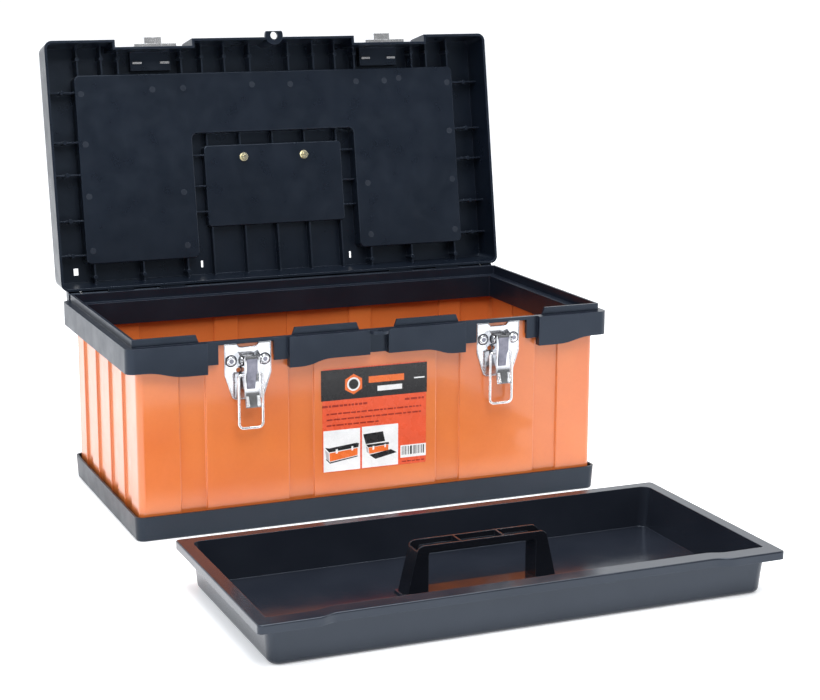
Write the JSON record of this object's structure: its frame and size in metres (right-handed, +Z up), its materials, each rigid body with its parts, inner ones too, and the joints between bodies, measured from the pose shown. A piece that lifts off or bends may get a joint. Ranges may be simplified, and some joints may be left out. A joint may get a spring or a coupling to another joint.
{
  "type": "toolbox with tray",
  "caption": "Steel and plastic toolbox with a hinged lid, over-centre latches, a fold-down carry handle on the lid and a loose lift-out tray.",
  "frame": {"origin": "centre of the box's base on the floor", "axes": "+X along the box's length to the right of its front, +Y towards the hinge at the back, +Z up"},
  "size_m": [0.49, 0.6745, 0.4482],
  "materials": {
    "body_paint": "semi-gloss orange paint",
    "base_plastic": "fine-grained, semi-matte",
    "rivet_metal": "plain",
    "collar_plastic": "fine-grained, semi-matte",
    "lid_plastic": "fine-grained, semi-matte",
    "pin_steel": "plain",
    "latch_chrome": "bright plated",
    "latch_rivet_chrome": "bright plated",
    "lever_chrome": "bright plated",
    "bail_wire": "bright plated wire",
    "strike_chrome": "bright plated",
    "label_print": "printed film",
    "zinc": "yellow zinc",
    "handle_plastic": "semi-matte",
    "tray_plastic": "glossy black",
    "tray_handle_plastic": "glossy black"
  },
  "bodies": {
    "case": {"steel_body": "body_paint", "base_tray": "base_plastic", "base_rivets": "rivet_metal", "collar": "collar_plastic", "hinge_pins": "pin_steel", "latch_plate_left": "latch_chrome", "latch_plate_right": "latch_chrome", "latch_rivets": "latch_rivet_chrome", "latch_pins": "pin_steel", "label": "label_print"},
    "lid": {"lid": "lid_plastic", "strike_left": "strike_chrome", "strike_right": "strike_chrome", "handle_clamp": "handle_plastic", "clamp_screws": "zinc", "clamp_nuts": "zinc", "clamp_washers": "zinc"},
    "handle": {"carry_handle": "handle_plastic", "handle_axle": "pin_steel"},
    "lever_left": {"latch_lever_left": "lever_chrome"},
    "lever_right": {"latch_lever_right": "lever_chrome"},
    "bail_left": {"latch_bail_left": "bail_wire"},
    "bail_right": {"latch_bail_right": "bail_wire"},
    "tray": {"tray": "tray_plastic", "tray_handle": "tray_handle_plastic"}
  },
  "joints": [
    {"name": "lid_hinge", "type": "hinge", "parent": "case", "child": "lid", "pos_m": [0, 0.1305, 0.1875], "axis": [1, 0, 0], "range_deg": [0, 99.7]},
    {"name": "handle_fold", "type": "hinge", "parent": "lid", "child": "handle", "pos_m": [0, 0.18115, 0.30515], "axis": [1, 0, 0], "range_deg": [-9.5, 80]},
    {"name": "lever_left_lift", "type": "hinge", "parent": "case", "child": "lever_left", "pos_m": [-0.1282, -0.1266, 0.1645], "axis": [-1, 0, 0], "range_deg": [0, 150]},
    {"name": "bail_left_swing", "type": "hinge", "parent": "lever_left", "child": "bail_left", "pos_m": [-0.1282, -0.1262, 0.1505], "axis": [1, 0, 0], "range_deg": [-180, 0]},
    {"name": "lever_right_lift", "type": "hinge", "parent": "case", "child": "lever_right", "pos_m": [0.1282, -0.1266, 0.1645], "axis": [-1, 0, 0], "range_deg": [0, 150]},
    {"name": "bail_right_swing", "type": "hinge", "parent": "lever_right", "child": "bail_right", "pos_m": [0.1282, -0.1262, 0.1505], "axis": [1, 0, 0], "range_deg": [-180, 0]},
    {"name": "tray_lift", "type": "slide", "parent": "case", "child": "tray", "axis": [0, 0, 1], "range_m": [0, 0.3]}
  ]
}
